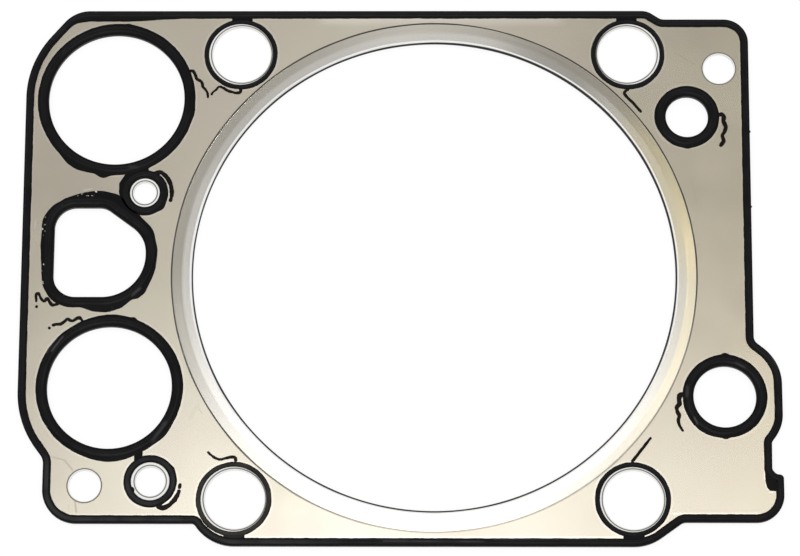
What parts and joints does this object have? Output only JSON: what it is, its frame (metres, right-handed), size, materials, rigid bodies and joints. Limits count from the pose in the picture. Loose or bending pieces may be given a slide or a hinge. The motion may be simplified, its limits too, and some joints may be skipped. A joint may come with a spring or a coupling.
{
  "type": "cylinder head gasket",
  "caption": "Flat steel cylinder head gasket with a large fire ring bore and moulded rubber seals round its rim, bolt holes and fluid ports.",
  "frame": {"origin": "on the axis of the fire ring bore, at mid thickness of the sheet", "axes": "+Z along the bore axis and normal to the sheet, towards the face shown in the picture; +X along the longest side, towards the tabbed side; +Y towards the long straight edge"},
  "size_m": [0.2061, 0.15, 0.0018],
  "materials": {
    "coated_steel": "satin coated sheet, warm grey beige",
    "ring_steel": "fine satin, bare steel",
    "black_rubber": "satin moulded rubber"
  },
  "bodies": {
    "root": {"carrier_plate": "coated_steel", "fire_ring": "ring_steel", "rim_seal": "black_rubber", "upper_left_seal": "black_rubber", "lower_left_seal": "black_rubber", "upper_right_seal": "black_rubber", "lower_right_seal": "black_rubber"}
  },
  "joints": []
}
